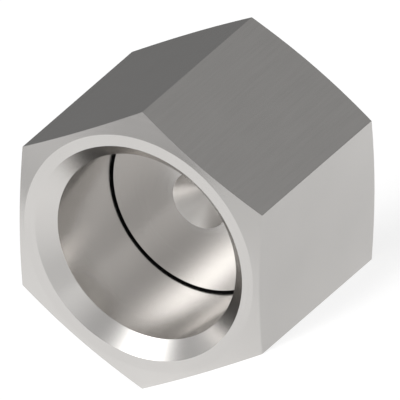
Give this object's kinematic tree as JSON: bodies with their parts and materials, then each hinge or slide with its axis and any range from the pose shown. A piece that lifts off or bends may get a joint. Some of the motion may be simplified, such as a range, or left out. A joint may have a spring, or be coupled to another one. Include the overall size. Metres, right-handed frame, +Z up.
{
  "type": "threaded protection cap",
  "caption": "Hexagonal steel screw cap with a chamfered mouth, a plain blind bore at the core diameter of its thread, a thin black sealing ring at its floor and a closed end.",
  "frame": {"origin": "middle of the resting flat: midway along the cap, below its axis, on the surface that it lies on", "axes": "+Z up out of the flat opposite the resting one, Y along the cap's axis with the mouth facing -Y and the closed end facing +Y, hexagon corners at +X and -X"},
  "size_m": [0.0254, 0.0186, 0.022],
  "materials": {
    "bright_steel": "fine-turned bright stainless steel with a satin sheen, the flats drawn and a shade darker",
    "black_rubber": "matt black"
  },
  "bodies": {
    "root": {"cap_body": "bright_steel", "sealing_ring": "black_rubber"}
  },
  "joints": []
}
